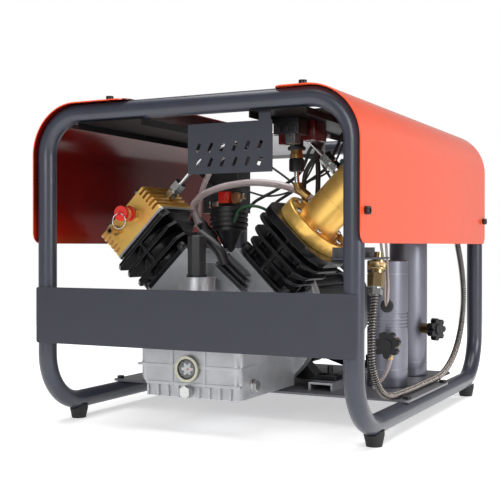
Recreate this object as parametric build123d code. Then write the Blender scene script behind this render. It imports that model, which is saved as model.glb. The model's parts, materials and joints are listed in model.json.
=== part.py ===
"""Twin stack compressor: a V-twin high-pressure air compressor in a tube frame.

Millimetres, +Z up.  The origin is the centre of the footprint on the floor,
-Y is the front, where the slotted bracket and the guard plate are.
Each sub-part is written to parts/NODE.step.
"""
import os
from math import cos, pi, radians, sin, sqrt, tan

from build123d import *

# ---------------------------------------------------------------- dimensions
# frame
TUBE_R = 12.5
TUBE_WALL = 2.0
HALF_W = 223.0
HALF_D = 288.0
RAIL_Z = 26.5
TOP_Z = 423.5
TOP_BEND = 55.0
BOTTOM_BEND = 72.0
LEG_JOINT_Z = RAIL_Z + BOTTOM_BEND + 4.0
FOOT_Y = (-218.0, 230.0)
FOOT_H = 14.0
BASE_Z = RAIL_Z + TUBE_R
BASE_T = 3.0
FLOOR_Z = BASE_Z + BASE_T
BASE_FRONT = -117.0
BASE_REAR = 200.0
BASE_HALF = 206.0
TAB_HALF = 235.0
TAB_REAR = 82.0
GUARD_Z = (114.5, 190.0)
GUARD_HALF = 231.0
# covers and trays
SHEET = 1.5
COVER_X = HALF_W + TUBE_R
COVER_HALF_D = HALF_D + TUBE_R + 2.0
COVER_BOTTOM = 249.0
COVER_CORNER = 15.0
RIGHT_COVER_IN = 123.0
LEFT_COVER_IN = 85.0
COVER_BOLT_Z = 287.0
RIGHT_BOLT_X = 158.0
LEFT_BOLT_X = -120.0
TRAY_Z = TOP_Z - TUBE_R
TRAY_OUT = 166.0
TRAY_WING = 206.0
RIGHT_TRAY_IN = 90.0
LEFT_TRAY_IN = 64.0
TRAY_LIP = 9.0
PLATE_X = (0.0, 118.0)
PLATE_Z = (336.0, 399.0)
SLOT_PITCH = 17.3
SLOT_SIZE = (4.7, 12.0)
SLOT_LEAN = 25.0
# control panel
PANEL_Y = HALF_D - TUBE_R
GAUGE = (40.0, 352.0)
SWITCH = (104.0, 356.0)
GLAND = (160.0, 352.0)
ROCKER_Y = PANEL_Y - 3.0
ROCKER_PIN_R = 1.5
ROCKER_TILT = 7.0
# crank line and the V of the cylinders
CRANK_X = -18.0
CRANK_Z = 145.0
LEFT_Y = -160.0
RIGHT_Y = -138.0
THROW = 15.0
ROD = 79.0
REAL_ROD = 100.0
CROWN_H = 28.0
DECK = 92.0
BORE_R = 30.0
PISTON_R = 29.95
LEFT_FOOT_T = 8.0
LEFT_FOOT_BOLTS = [(x, y) for x in (-36.0, 36.0) for y in (-38.0, 38.0)]
RIGHT_FOOT_T = 6.0
RIGHT_FOOT_BOLTS = [(x, y) for x in (-36.0, 36.0) for y in (-40.0, 40.0)]
HEAD_D = 163.5
HEAD_T = 42.0
HEAD_HALF = 44.0
HEAD_BACK = 56.0
VALVE_AT = (-18.0, 188.0)
NOZZLE_AT = (17.0, 190.0)
OUTLET_X = 4.0
OUTLET_D = 186.0
RING_R = 10.5
RING_WIRE = 0.75
EYE_OUT = 36.5
FLANGE_D = 169.7
FLANGE_T = 19.5
FLANGE_R = 49.5
BARREL_R = 28.0
BARREL_END = 300.0
PORT_D = 257.0
GAUGE_PORT = (3.0, 256.0)
CASE_FRONT = -257.0
CASE_BODY = (-208.0, -90.0)
CASE_HALF = 76.0
CASE_BOTTOM = 48.0
POCKET_DEPTH = 21.0
SIGHT_Z = 85.5
DRAIN_Z = 56.5
JOURNAL_R = 12.5
BEARING_R = 26.0
FRONT_BEARING = (-216.0, -201.0)
REAR_BEARING = (-105.0, -90.0)
TAIL_BEARING = (122.0, 137.0)
BREATHER_Y = -235.0
PIN_R = 11.0
FILTER = (-53.0, -79.0)
# motor
BELL_R = 112.0
BELL_Y = (-90.0, -68.0)
BELL_TOP = 207.0
MOTOR_R = 80.0
MOTOR_Y = (-68.0, 140.0)
COWL_END = 196.0
RAIL_X = 115.0
RAIL_W = 36.0
RAIL_H = 11.0
# stacks
STACK_R = 29.5
FRONT_STACK = (165.0, 4.0)
REAR_STACK = (154.0, 138.0)
FRONT_STACK_TOP = 225.0
REAR_STACK_TOP = 300.0
FRONT_KNOB = (183.0, -50.0, 107.0)
REAR_KNOB_Z = 117.0
REAR_KNOB_OUT = 55.6
REAR_KNOB_TURN = -22.0
ELBOW_Y = -38.0
KNOB_R = 19.0
FRONT_GROOVES = tuple(128.0 + 4.8 * i for i in range(5))
# pipes and hoses
PIPE_R = 3.0
CLEAR_R = 5.0
DRAIN_R = 3.0
HOSE_R = 4.5
RUN_FIT = 0.05

X, Y, Z = Vector(1, 0, 0), Vector(0, 1, 0), Vector(0, 0, 1)
LEFT_UP = Vector(-1, 0, 1).normalized()
RIGHT_UP = Vector(1, 0, 1).normalized()
LEFT = Plane(origin=(CRANK_X, LEFT_Y, CRANK_Z), x_dir=(0, 1, 0), z_dir=LEFT_UP)
RIGHT = Plane(origin=(CRANK_X, RIGHT_Y, CRANK_Z), x_dir=(0, -1, 0), z_dir=RIGHT_UP)
PIN = Vector(CRANK_X, 0, CRANK_Z + THROW)
REAR_OUT = Vector(cos(radians(REAR_KNOB_TURN)), sin(radians(REAR_KNOB_TURN)), 0)
COUPLER = Vector(207.0, -170.0, 183.0)
COUPLER_UP = Vector(0, sin(radians(14)), cos(radians(14)))


# ------------------------------------------------------------------- helpers
def cylinder(radius, start, end):
    axis = Vector(end) - Vector(start)
    return Solid.make_cylinder(radius, axis.length, Plane(origin=start, z_dir=axis))


def cone(r1, r2, start, end):
    axis = Vector(end) - Vector(start)
    return Solid.make_cone(r1, r2, axis.length, Plane(origin=start, z_dir=axis))


def ring(outer, inner, start, end):
    return cylinder(outer, start, end) - cylinder(inner, start, end)


def block(low, high):
    size = Vector(high) - Vector(low)
    return Solid.make_box(size.X, size.Y, size.Z, Plane(origin=low))


def prism(points, step):
    """A straight prism: a closed outline carried along one vector."""
    return Solid.extrude(Face(Wire.make_polygon(points)), Vector(step))


def hexagon(across, start, end):
    axis = Vector(end) - Vector(start)
    face = Plane(origin=start, z_dir=axis) * RegularPolygon(across / 2, 6, major_radius=False)
    return extrude(face, axis.length)


def slab(low, high, corner, along=Axis.Z):
    """A plate with its four edges along one axis rounded."""
    plate = block(low, high)
    return fillet(plate.edges().filter_by(along), corner)


def pipe(points, radii, radius, wall=0.0):
    """A tube along straight runs joined by tangent arcs."""
    line = FilletPolyline(*points, radius=radii)
    plane = Plane(origin=line @ 0, z_dir=line % 0)
    tube = sweep(plane * Circle(radius), path=line)
    if wall:
        tube = tube - sweep(plane * Circle(radius - wall), path=line)
    return tube


def bend_radii(points, share=0.45):
    """Each bend is as large as its two runs allow."""
    radii = []
    for a, b, c in zip(points, points[1:], points[2:]):
        u, v = Vector(b) - Vector(a), Vector(c) - Vector(b)
        half = radians(u.get_angle(v)) / 2
        radii.append(share * min(u.length, v.length) / tan(half))
    return radii


def polar(radius, degrees):
    return radius * cos(radians(degrees)), radius * sin(radians(degrees))


def socket_bolt(foot, out, shank=14.0, head_r=5.0, head_h=6.0, shank_r=3.0):
    """A socket-head bolt whose head sits on foot and points along out."""
    foot, out = Vector(foot), Vector(out).normalized()
    bolt = cylinder(shank_r, foot - out * shank, foot + out)
    bolt = bolt + cylinder(head_r, foot, foot + out * head_h)
    return bolt - hexagon(5.0, foot + out * (head_h - 3.0), foot + out * (head_h + 1.0))


def hex_bolt(foot, out, across, head, shank, shank_r):
    foot, out = Vector(foot), Vector(out).normalized()
    return cylinder(shank_r, foot - out * shank, foot + out) + hexagon(across, foot, foot + out * head)


# --------------------------------------------------------------------- frame
def hoop(side):
    """An inverted U of tube across the width, drilled for the cover bolts."""
    y = side * HALF_D
    low = LEG_JOINT_Z
    points = [(-HALF_W, y, low), (-HALF_W, y, TOP_Z), (HALF_W, y, TOP_Z), (HALF_W, y, low)]
    tube = pipe(points, [TOP_BEND] * 2, TUBE_R, TUBE_WALL)
    for x in (-HALF_W, HALF_W):
        out = 1 if x > 0 else -1
        tube = tube - cylinder(3.0, (x, y, COVER_BOLT_Z), (x + out * 20, y, COVER_BOLT_Z))
    for x in (LEFT_BOLT_X, RIGHT_BOLT_X):
        tube = tube - cylinder(3.0, (x, y, TOP_Z), (x, y, TOP_Z + 20))
    return tube


def rail(side):
    """A skid rail: the two leg bends and the straight run between them."""
    x = side * HALF_W
    high = LEG_JOINT_Z
    points = [(x, -HALF_D, high), (x, -HALF_D, RAIL_Z), (x, HALF_D, RAIL_Z), (x, HALF_D, high)]
    tube = pipe(points, [BOTTOM_BEND] * 2, TUBE_R, TUBE_WALL)
    for bx, by in base_bolt_places():
        if bx * side > 0:
            tube = tube - cylinder(3.0, (bx, by, RAIL_Z), (bx, by, RAIL_Z + 20))
    return tube


def rubber_foot(x, y):
    foot = cone(10.0, 13.0, (x, y, 0), (x, y, FOOT_H)) + cylinder(13.0, (x, y, FOOT_H), (x, y, 20))
    return foot - cylinder(TUBE_R, (x, y - 20, RAIL_Z), (x, y + 20, RAIL_Z))


def base_bolt_places():
    return [(s * (HALF_W + 6), y) for s in (-1, 1) for y in (-104.0, 69.0)]


def rail_bolt_places():
    return [(CRANK_X + s * RAIL_X, y) for s in (-1, 1) for y in (-50.0, 110.0)]


def base_plate():
    outline = [(-BASE_HALF, BASE_REAR), (-BASE_HALF, TAB_REAR), (-TAB_HALF, TAB_REAR),
               (-TAB_HALF, BASE_FRONT), (TAB_HALF, BASE_FRONT), (TAB_HALF, TAB_REAR),
               (BASE_HALF, TAB_REAR), (BASE_HALF, BASE_REAR)]
    plate = prism([(x, y, BASE_Z) for x, y in outline], (0, 0, BASE_T))
    plate = fillet(plate.edges().filter_by(Axis.Z), 6.0)
    for x, y in base_bolt_places():
        plate = plate - cylinder(3.0, (x, y, BASE_Z - 1), (x, y, FLOOR_Z + 1))
    for x, y in rail_bolt_places():
        plate = plate - cylinder(4.0, (x, y, BASE_Z - 1), (x, y, FLOOR_Z + 1))
    return plate


def base_bolts():
    bolts = [hex_bolt((x, y, FLOOR_Z), Z, 10.0, 4.0, 9.0, 3.0) for x, y in base_bolt_places()]
    for x, y in rail_bolt_places():
        top = FLOOR_Z + RAIL_H
        stud = cylinder(4.0, (x, y, BASE_Z - 8), (x, y, top + 20))
        stud = stud + cylinder(9.0, (x, y, top), (x, y, top + 1.6))
        bolts.append(stud + hexagon(13.0, (x, y, top + 1.6), (x, y, top + 9.0)))
    return bolts


def front_guard():
    y = -HALF_D - TUBE_R
    return slab((-GUARD_HALF, y - 2, GUARD_Z[0]), (GUARD_HALF, y, GUARD_Z[1]), 3.0, Axis.Y)


# ---------------------------------------------------------- covers and trays
def cover(side, inner):
    """A folded sheet cover over one side: wall, round shoulder and top flange."""
    top = TOP_Z + TUBE_R + SHEET
    shoulder = TOP_BEND + TUBE_R
    skin = block((inner, -COVER_HALF_D, COVER_BOTTOM), (COVER_X + SHEET, COVER_HALF_D, top))
    edge = skin.edges().filter_by(Axis.Y).sort_by(lambda e: e.center().X + e.center().Z)[-1]
    skin = fillet(edge, shoulder + SHEET)
    room = block((inner - 9, -COVER_HALF_D - 9, COVER_BOTTOM - 9),
                 (COVER_X, COVER_HALF_D + 9, top - SHEET))
    edge = room.edges().filter_by(Axis.Y).sort_by(lambda e: e.center().X + e.center().Z)[-1]
    skin = skin - fillet(edge, shoulder)
    corners = skin.edges().filter_by(Axis.X).sort_by(Axis.Z)
    low = [e for e in corners if abs(e.center().Z - COVER_BOTTOM) < 0.1]
    skin = fillet(low, COVER_CORNER)
    flange = skin.edges().filter_by(Axis.Z).sort_by(Axis.X)
    skin = fillet([e for e in flange if abs(e.center().X - inner) < 0.1], COVER_CORNER)
    bolt_x = RIGHT_BOLT_X if side > 0 else -LEFT_BOLT_X
    for y in (-HALF_D, HALF_D):
        skin = skin - cylinder(3.0, (COVER_X - 9, y, COVER_BOLT_Z), (COVER_X + 9, y, COVER_BOLT_Z))
        skin = skin - cylinder(3.0, (bolt_x, y, top - 9), (bolt_x, y, top + 9))
    return skin if side > 0 else skin.mirror(Plane.YZ)


def cover_bolts():
    bolts = []
    top = TOP_Z + TUBE_R + SHEET
    for y in (-HALF_D, HALF_D):
        for side in (-1, 1):
            bolts.append(socket_bolt((side * (COVER_X + SHEET), y, COVER_BOLT_Z), X * side))
        for x in (LEFT_BOLT_X, RIGHT_BOLT_X):
            bolts.append(socket_bolt((x, y, top), Z))
    return bolts


def tray(side, inner):
    """A shallow tray under the top tubes, lips turned down on both long edges."""
    half = HALF_D + 8
    room = HALF_D - TUBE_R - 2
    plate = block((inner, -half, TRAY_Z - SHEET), (TRAY_OUT, half, TRAY_Z))
    plate = plate + block((inner, -room, TRAY_Z - SHEET), (TRAY_WING, room, TRAY_Z))
    for x in (inner, TRAY_OUT - SHEET):
        plate = plate + block((x, -half, TRAY_Z - TRAY_LIP), (x + SHEET, half, TRAY_Z))
    return plate if side > 0 else plate.mirror(Plane.YZ)


def slotted_bracket():
    """The vented plate behind the front top tube, hung from the right tray."""
    y = -HALF_D
    low = (PLATE_X[0], y - SHEET / 2, PLATE_Z[0])
    plate = slab(low, (PLATE_X[1], y + SHEET / 2, PLATE_Z[1]), 1.0, Axis.Y)
    plate = plate + block((PLATE_X[1] - 18, y - SHEET / 2, PLATE_Z[1] - 4),
                          (PLATE_X[1] - 2, y + SHEET / 2, TRAY_Z - SHEET))
    middle = (PLATE_X[0] + PLATE_X[1]) / 2
    for row in (-19.0, 0.0):
        for i in range(6):
            x = middle - 1.0 + (i - 2.5) * SLOT_PITCH
            slot = Rot(0, SLOT_LEAN, 0) * Box(SLOT_SIZE[0], 9, SLOT_SIZE[1])
            plate = plate - Pos(x, y, 369 + row) * slot
    return plate


def hose_bracket():
    """A strap from the right front leg that parks the hose's quick coupler."""
    plate = block((196, -HALF_D, 229), (218, -146, 231.5))
    plate = plate + block((196, -HALF_D, 231.5), (198.5, -146, 244))
    plate = plate - cylinder(TUBE_R, (HALF_W, -HALF_D, 200), (HALF_W, -HALF_D, 300))
    return plate - cylinder(5.0, COUPLER, COUPLER + COUPLER_UP * 90)


# ------------------------------------------------------------- control panel
def control_panel():
    """The rear panel: it hangs from the right tray in front of the rear hoop."""
    panel = slab((-16, PANEL_Y - 2, 306), (190, PANEL_Y, TRAY_Z - TRAY_LIP), 5.0, Axis.Y)
    panel = panel + block((100, PANEL_Y - 20, TRAY_Z - 3.0), (160, PANEL_Y, TRAY_Z - SHEET))
    panel = panel + block((100, PANEL_Y - 2, TRAY_Z - 14), (160, PANEL_Y, TRAY_Z - SHEET))
    front, back = PANEL_Y - 5, PANEL_Y + 5
    for radius, (x, z) in ((25.0, GAUGE), (8.0, GLAND)):
        panel = panel - cylinder(radius, (x, front, z), (x, back, z))
    x, z = SWITCH
    return panel - block((x - 15, front, z - 12), (x + 15, back, z + 12))


def pressure_gauge():
    x, z = GAUGE
    body = cylinder(25.0, (x, PANEL_Y - 22, z), (x, PANEL_Y + 1, z))
    body = body + cylinder(28.5, (x, PANEL_Y, z), (x, PANEL_Y + 8, z))
    body = body + hexagon(14.0, (x, PANEL_Y - 36, z), (x, PANEL_Y - 21, z))
    body = body - cylinder(25.0, (x, PANEL_Y + 2.5, z), (x, PANEL_Y + 9, z))
    return body - cylinder(1.0 + RUN_FIT, (x, PANEL_Y - 4, z), (x, PANEL_Y + 9, z))


def gauge_needle():
    """The pointer at zero, towards the lower left as seen from behind."""
    x, z = GAUGE
    arm = Pos(x, PANEL_Y + 4.5, z) * Rot(0, 45, 0) * Pos(7.0, 0, 0) * Box(24.0, 0.8, 1.6)
    hub = cylinder(2.6, (x, PANEL_Y + 3.8, z), (x, PANEL_Y + 5.2, z))
    return arm + hub + cylinder(1.0, (x, PANEL_Y - 3, z), (x, PANEL_Y + 4, z))


def power_switch():
    x, z = SWITCH
    case = block((x - 15, PANEL_Y - 24, z - 12), (x + 15, PANEL_Y + 1, z + 12))
    case = case + block((x - 18, PANEL_Y, z - 15), (x + 18, PANEL_Y + 3, z + 15))
    case = case - block((x - 12.6, PANEL_Y - 9, z - 10.6), (x + 12.6, PANEL_Y + 9, z + 10.6))
    return case - cylinder(ROCKER_PIN_R + RUN_FIT, (x - 14.2, ROCKER_Y, z), (x + 14.2, ROCKER_Y, z))


def switch_rocker():
    """The rocker in its off position, tilted about its lengthwise pin."""
    x, z = SWITCH
    outline = [(-9.4, -2), (-9.4, 6.6), (0, 5.2), (9.4, 6.6), (9.4, -2)]
    body = prism([(-12, across, out) for across, out in outline], (24, 0, 0))
    body = body + cylinder(ROCKER_PIN_R, (-13.8, 0, 0), (13.8, 0, 0))
    return Pos(x, ROCKER_Y, z) * Rot(-90 - ROCKER_TILT, 0, 0) * body


def cable_gland():
    x, z = GLAND
    body = hexagon(22.0, (x, PANEL_Y, z), (x, PANEL_Y + 7, z))
    body = body + cylinder(8.0, (x, PANEL_Y - 12, z), (x, PANEL_Y + 1, z))
    body = body + cone(10.5, 8.0, (x, PANEL_Y + 7, z), (x, PANEL_Y + 20, z))
    body = body + hexagon(20.0, (x, PANEL_Y - 8, z), (x, PANEL_Y - 2, z))
    return body - cylinder(5.1, (x, PANEL_Y - 20, z), (x, PANEL_Y + 30, z))


def control_box():
    """The closed box of motor electrics that hangs under the left tray."""
    low, high = Vector(-143, 0, 298), Vector(-76, 40, TRAY_Z - TRAY_LIP)
    wall = Vector(2, 2, 2)
    box = fillet(block(low, high).edges().filter_by(Axis.Z), 4.0)
    hanger = block((low.X + 6, 4, high.Z - 1), (high.X - 6, 36, TRAY_Z - SHEET))
    return box - block(low + wall, high - wall) + hanger


# ----------------------------------------------------------------- crankcase
def crankcase():
    """The cast block: a V-topped body, a front sump and bearing housing."""
    right_side = [(CASE_HALF, -97), (CASE_HALF, 10.9), (97.6, 32.5), (32.5, 97.6), (13, 78)]
    outline = right_side + [(-x, z) for x, z in reversed(right_side)]
    y0, y1 = CASE_BODY
    body = prism([(CRANK_X + x, y0, CRANK_Z + z) for x, z in outline], (0, y1 - y0, 0))
    half = CASE_HALF
    sump = block((CRANK_X - half, CASE_FRONT, CASE_BOTTOM), (CRANK_X + half, y0, CRANK_Z))
    sump = fillet(sump.edges().filter_by(Axis.Z).sort_by(Axis.Y)[:2], 10.0)
    corner = [(-half - 3, -98), (-half + 14, -98), (-half + 12, -81), (-half - 3, -66)]
    sump = sump - prism([(CRANK_X + x, CASE_FRONT - 1, CRANK_Z + z) for x, z in corner], (0, 50, 0))
    nose = cylinder(46.0, (CRANK_X, CASE_FRONT + 4, CRANK_Z), (CRANK_X, y0, CRANK_Z))
    boss = cylinder(24.5, (CRANK_X, BREATHER_Y, CRANK_Z), (CRANK_X, BREATHER_Y, 204.6))
    pocket = [(-1, 86), (52, 40), (100, 40), (100, 100), (-1, 100)]
    body = body - prism([(CRANK_X + x, y0 - 1, CRANK_Z + z) for x, z in pocket], (0, POCKET_DEPTH + 1, 0))
    body = body + sump + nose + boss
    for y_mid, up in ((LEFT_Y, LEFT_UP), (RIGHT_Y, RIGHT_UP)):
        centre = Vector(CRANK_X, y_mid, CRANK_Z)
        body = body + cylinder(46.0, centre + up * 40, centre + up * DECK)
        body = body + cylinder(47.5, centre + up * (DECK - 9), centre + up * DECK)
    for z in (-35.0, -58.0, -81.0):
        left, right = (half - 12, half) if z < -80 else (half + 2, half + 2)
        low = (CRANK_X - left, CASE_FRONT - 1.6, CRANK_Z + z)
        body = body + block(low, (CRANK_X + right, y0, CRANK_Z + z + 3))
    for x in (-26.0, 23.0):
        body = body + block((CRANK_X + x, CASE_FRONT - 1.6, 62), (CRANK_X + x + 3, CASE_FRONT + 6, CRANK_Z))
    for i in range(9):
        x = CRANK_X - 62 + i * 15.5
        body = body + block((x, CASE_FRONT - 3, CASE_BOTTOM), (x + 2.5, CASE_FRONT + 6, 62))
    cavity = cylinder(50.0, (CRANK_X, -196, CRANK_Z), (CRANK_X, -108, CRANK_Z))
    pan = block((CRANK_X - 64, -246, CASE_BOTTOM + 9), (CRANK_X + 64, -102, CRANK_Z - 32))
    body = body - cavity - pan
    for y_mid, up in ((LEFT_Y, LEFT_UP), (RIGHT_Y, RIGHT_UP)):
        centre = Vector(CRANK_X, y_mid, CRANK_Z)
        body = body - cylinder(34.0, centre, centre + up * (DECK + 5))
    for ends in (FRONT_BEARING, REAR_BEARING):
        low, high = ends
        body = body - cylinder(BEARING_R, (CRANK_X, low, CRANK_Z), (CRANK_X, high, CRANK_Z))
    body = body - cylinder(17.0, (CRANK_X, -205, CRANK_Z), (CRANK_X, -80, CRANK_Z))
    body = body - cylinder(12.0, (CRANK_X, CASE_FRONT - 9, SIGHT_Z), (CRANK_X, -240, SIGHT_Z))
    body = body - cylinder(6.0, (CRANK_X, CASE_FRONT - 9, DRAIN_Z), (CRANK_X, -240, DRAIN_Z))
    body = body - cylinder(8.0, (CRANK_X, BREATHER_Y, 190), (CRANK_X, BREATHER_Y, 210))
    side = CRANK_X + half
    return body - cylinder(4.0, (side - 20, -222, 64), (side + 9, -222, 64))


def sight_glass():
    """The oil level glass: a bezel with a recessed window, screwed into the sump."""
    bezel = cylinder(17.0, (CRANK_X, CASE_FRONT - 6, SIGHT_Z), (CRANK_X, CASE_FRONT - 1.6, SIGHT_Z))
    bezel = bezel + cylinder(12.0, (CRANK_X, CASE_FRONT - 2, SIGHT_Z), (CRANK_X, -245, SIGHT_Z))
    return bezel - cylinder(13.5, (CRANK_X, CASE_FRONT - 7, SIGHT_Z), (CRANK_X, CASE_FRONT - 2.4, SIGHT_Z))


def crankcase_bolts():
    side = CRANK_X + CASE_HALF
    drain = hex_bolt((CRANK_X, CASE_FRONT - 3, DRAIN_Z), -Y, 14.0, 8.0, 10.0, 6.0)
    lug = hex_bolt((side, -222, 64), X, 13.0, 8.0, 12.0, 4.0)
    return [drain, lug + cylinder(9.0, (side, -222, 64), (side + 2, -222, 64))]


def breather():
    """The oil filler and breather: an eight-sided column on a round foot."""
    x, y = CRANK_X, BREATHER_Y
    column = extrude(Plane(origin=(x, y, 204.6)) * RegularPolygon(11.6, 8, major_radius=False), 55.2)
    column = chamfer(column.faces().sort_by(Axis.Z)[-1].edges(), 1.5)
    return column + cylinder(13.5, (x, y, 204.6), (x, y, 208)) + cylinder(8.0, (x, y, 192), (x, y, 206))


# ----------------------------------------------------------------- cylinders
def fin_plate(half_x, reach, low, thick, cuts):
    """A fin across a cylinder: its upper and lower reach, and how its corners are cut."""
    (up, down), (front, back, foot, heel) = reach, cuts
    outline = [(-half_x, -up + front), (-half_x + front, -up), (half_x - back, -up), (half_x, -up + back),
               (half_x, down - heel), (half_x - heel, down), (-half_x + foot, down), (-half_x, down - foot)]
    return prism([(x, y, low) for x, y in outline], (0, 0, thick))


def left_cylinder():
    """The low-pressure cylinder: thick square fins that shrink downwards."""
    body = cylinder(37.5, (0, 0, DECK), (0, 0, 160.0))
    for low, up, down in ((150.5, 58.0, 58.0), (133.0, 56.0, 54.0), (112.0, 54.0, 50.0)):
        body = body + fin_plate(46.0, (up, down), low, 4.0, (10.0, 34.0, 9.0, 46.0))
    body = body + fin_plate(45.0, (44.0, 44.0), DECK, LEFT_FOOT_T, (8.0, 8.0, 8.0, 8.0))
    body = body + fin_plate(46.0, (57.0, 46.0), 155.0, 5.0, (10.0, 20.0, 10.0, 20.0))
    body = body + Pos(0, 4, 134) * Box(88.0, 3.0, 44.0)
    for x, y in LEFT_FOOT_BOLTS:
        body = body - cylinder(4.0, (x, y, DECK - 1), (x, y, DECK + LEFT_FOOT_T + 1))
    body = body - cylinder(BORE_R, (0, 0, DECK - 5), (0, 0, 170))
    return LEFT * body


def right_cylinder():
    """The guide cylinder of the high-pressure side: rounded fins that grow upwards."""
    body = cylinder(38.0, (0, 0, DECK), (0, 0, FLANGE_D))
    plates = ((DECK, RIGHT_FOOT_T, 46.0, 18.0), (112.0, 3.5, 47.0, 24.0), (129.0, 3.5, 52.0, 26.0),
              (147.0, 3.5, 57.0, 28.0), (158.0, FLANGE_D - 158.0, 57.0, 30.0))
    for low, thick, half, corner in plates:
        plate = block((-half, -half, low), (half, half, low + thick))
        body = body + fillet(plate.edges().filter_by(Axis.Z), corner)
    for turn in range(8):
        x, y = polar(40.0, turn * 45)
        body = body + Pos(x, y, 128) * Rot(0, 0, turn * 45) * Box(9.0, 3.0, 66.0)
    for x, y in RIGHT_FOOT_BOLTS:
        body = body - cylinder(4.0, (x, y, DECK - 1), (x, y, DECK + RIGHT_FOOT_T + 1))
    body = body - cylinder(BORE_R, (0, 0, DECK - 5), (0, 0, 180))
    return RIGHT * body


def cylinder_bolts():
    """The black cap screws that hold both cylinders down on the crankcase."""
    bolts = []
    feet = ((LEFT, LEFT_FOOT_T, LEFT_FOOT_BOLTS), (RIGHT, RIGHT_FOOT_T, RIGHT_FOOT_BOLTS))
    for frame, thick, places in feet:
        for x, y in places:
            bolts.append(frame * socket_bolt((x, y, DECK + thick), Z, thick, 6.5, 8.0, 4.0))
    return bolts


def valve_plate():
    half = HEAD_HALF + 0.5
    plate = block((-half, -HEAD_BACK - 1, 160.0), (half, half, HEAD_D))
    return LEFT * chamfer(plate.edges().filter_by(Axis.Z), 3.0)


def left_head():
    """The square gold head: slots cut in from its upper and lower edges."""
    top = HEAD_D + HEAD_T
    head = block((-HEAD_HALF, -HEAD_BACK, HEAD_D), (HEAD_HALF, HEAD_HALF, top))
    head = chamfer(head.edges().filter_by(Axis.Z), 2.0)
    for i in range(5):
        z = HEAD_D + 6.0 + i * 7.2
        for edge in (-HEAD_BACK, HEAD_HALF):
            head = head - Pos(0, edge, z + 1.9) * Box(100.0, 24.0, 3.8)
    for x, y in head_bolt_places():
        head = head - cylinder(4.0, (x, y, HEAD_D - 1), (x, y, top + 1))
    head = head - cylinder(6.0, (-HEAD_HALF - 1, *VALVE_AT), (-30, *VALVE_AT))
    head = head - cylinder(4.5, (-HEAD_HALF - 1, *NOZZLE_AT), (-30, *NOZZLE_AT))
    head = head - cylinder(6.0, (OUTLET_X, -HEAD_BACK - 1, OUTLET_D), (OUTLET_X, -20, OUTLET_D))
    return LEFT * head


def head_bolt_places():
    return [(x, y) for x in (-34.0, 34.0) for y in (-39.0, 26.0)]


def flange_bolt_places():
    return [polar(39.0, 30 + 60 * i) for i in range(6)]


def right_flange():
    """The gold disc that closes the guide cylinder and carries the barrel."""
    disc = cylinder(FLANGE_R, (0, 0, FLANGE_D), (0, 0, FLANGE_D + FLANGE_T))
    disc = chamfer(disc.edges().sort_by(Axis.Z)[-1], 1.5)
    disc = disc - cylinder(8.0, (0, 0, FLANGE_D - 1), (0, 0, FLANGE_D + FLANGE_T + 1))
    disc = disc - cylinder(44.0, (0, 0, FLANGE_D + FLANGE_T - 3), (0, 0, FLANGE_D + FLANGE_T + 1))
    for x, y in flange_bolt_places():
        disc = disc - cylinder(3.0, (x, y, FLANGE_D - 1), (x, y, FLANGE_D + FLANGE_T + 1))
    return RIGHT * disc


def right_barrel():
    """The gold high-pressure barrel, a groove round it and a port in its side."""
    low = FLANGE_D + FLANGE_T - 3
    barrel = cylinder(BARREL_R, (0, 0, low), (0, 0, BARREL_END))
    barrel = chamfer(barrel.edges().sort_by(Axis.Z)[-1], 1.5)
    barrel = barrel - ring(BARREL_R + 2, BARREL_R - 1, (0, 0, 228), (0, 0, 229.2))
    barrel = barrel - ring(BARREL_R + 2, BARREL_R - 1, (0, 0, 249), (0, 0, 250))
    barrel = barrel - cylinder(8.0, (0, 0, low - 1), (0, 0, 278))
    barrel = barrel - cylinder(3.6, (BARREL_R + 2, *GAUGE_PORT), (BARREL_R - 8, *GAUGE_PORT))
    return RIGHT * (barrel - cylinder(6.0, (0, -BARREL_R - 1, PORT_D), (0, -15, PORT_D)))


def head_bolts():
    """Cap screws of the gold head and of the gold flange."""
    top = HEAD_D + HEAD_T
    bolts = [LEFT * socket_bolt((x, y, top), Z, 30, 6.0, 6.0, 4.0) for x, y in head_bolt_places()]
    seat = FLANGE_D + FLANGE_T - 3
    bolts += [RIGHT * socket_bolt((x, y, seat), Z, 12, 4.6, 5.0, 3.0) for x, y in flange_bolt_places()]
    return bolts


def valve_point(place, out):
    """A point in front of the head's front face, out millimetres from it."""
    return LEFT.from_local_coords(Vector(-HEAD_HALF - out, place[0], place[1]))


def safety_valve():
    """The brass body under the red cap, screwed into the head's front face."""
    at = lambda out: valve_point(VALVE_AT, out)
    body = cylinder(6.0, at(-10), at(1)) + hexagon(17.0, at(0), at(7)) + cylinder(7.0, at(7), at(12))
    return body + cylinder(3.0, at(11), at(24))


def safety_cap():
    """The red lift-off cap: it slides out on the valve's stem against a spring."""
    at = lambda out: valve_point(VALVE_AT, out)
    cap = cone(11.5, 10.0, at(12.6), at(19)) + cylinder(9.6, at(19), at(23.5))
    cap = cap + cylinder(10.6, at(23.5), at(33))
    eye = at(EYE_OUT)
    tab = block(eye + Vector(-1, -3, -2.6), eye + Vector(1, 4, 2.6))
    tab = tab - cylinder(1.3, eye - X * 2, eye + X * 2)
    return cap - cylinder(3.0 + RUN_FIT, at(12), at(29)) + tab


def pull_ring():
    """A steel ring that hangs in the eye on the front of the cap."""
    eye = valve_point(VALVE_AT, EYE_OUT)
    return Solid.make_torus(RING_R, RING_WIRE, Plane(origin=eye - Z * RING_R, z_dir=Y))


def outlet_nozzle():
    """The small brass nozzle below the safety valve."""
    at = lambda out: valve_point(NOZZLE_AT, out)
    body = cylinder(4.5, at(-10), at(1)) + hexagon(13.0, at(0), at(6)) + cylinder(4.0, at(6), at(13))
    body = body + cylinder(5.2, at(13), at(21))
    return body - cylinder(3.0, at(4), at(22))


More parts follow.
